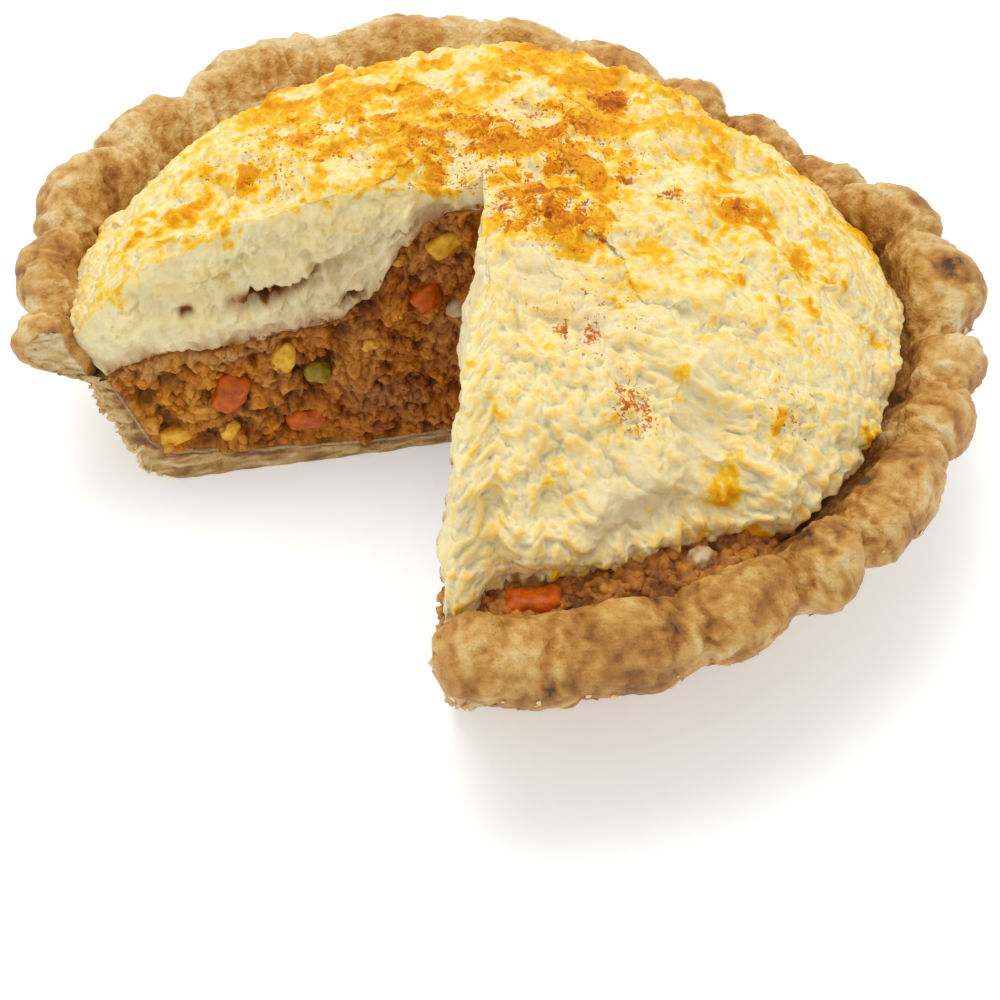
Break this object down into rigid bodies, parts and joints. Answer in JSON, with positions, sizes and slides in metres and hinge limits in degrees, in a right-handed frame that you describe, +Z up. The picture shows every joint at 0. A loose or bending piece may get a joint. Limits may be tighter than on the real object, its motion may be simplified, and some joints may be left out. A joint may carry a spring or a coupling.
{
  "type": "shepherd's pie with a slice cut out",
  "caption": "Deep round savoury pie in a hand-crimped pastry case, filled with mince and vegetables under a domed cap of browned mashed potato, with one slice cut out.",
  "frame": {"origin": "on the surface the pie stands on, under the middle of its bounding box", "axes": "+Z up; the missing slice opens towards -X and -Y, between azimuths of 191 and 265 degrees counted from +X towards +Y"},
  "size_m": [0.2554, 0.2508, 0.095],
  "materials": {
    "pastry": "baked shortcrust pastry, golden and flaky",
    "mince": "cooked minced meat, crumbly and moist",
    "potato": "mashed potato, forked up and browned",
    "corn": "sweetcorn kernel, smooth and moist",
    "carrot": "cooked carrot, cut and moist",
    "green_bean": "cooked green bean, cut and moist",
    "onion": "cooked onion, translucent"
  },
  "bodies": {
    "root": {"pastry_case": "pastry", "meat_filling": "mince", "mashed_potato": "potato", "corn_1": "corn", "corn_2": "corn", "corn_3": "corn", "corn_4": "corn", "corn_5": "corn", "corn_6": "corn", "corn_7": "corn", "corn_8": "corn", "carrot_1": "carrot", "carrot_2": "carrot", "carrot_3": "carrot", "carrot_4": "carrot", "carrot_5": "carrot", "carrot_6": "carrot", "green_bean_1": "green_bean", "green_bean_2": "green_bean", "onion_1": "onion", "onion_2": "onion", "onion_3": "onion"}
  },
  "joints": []
}
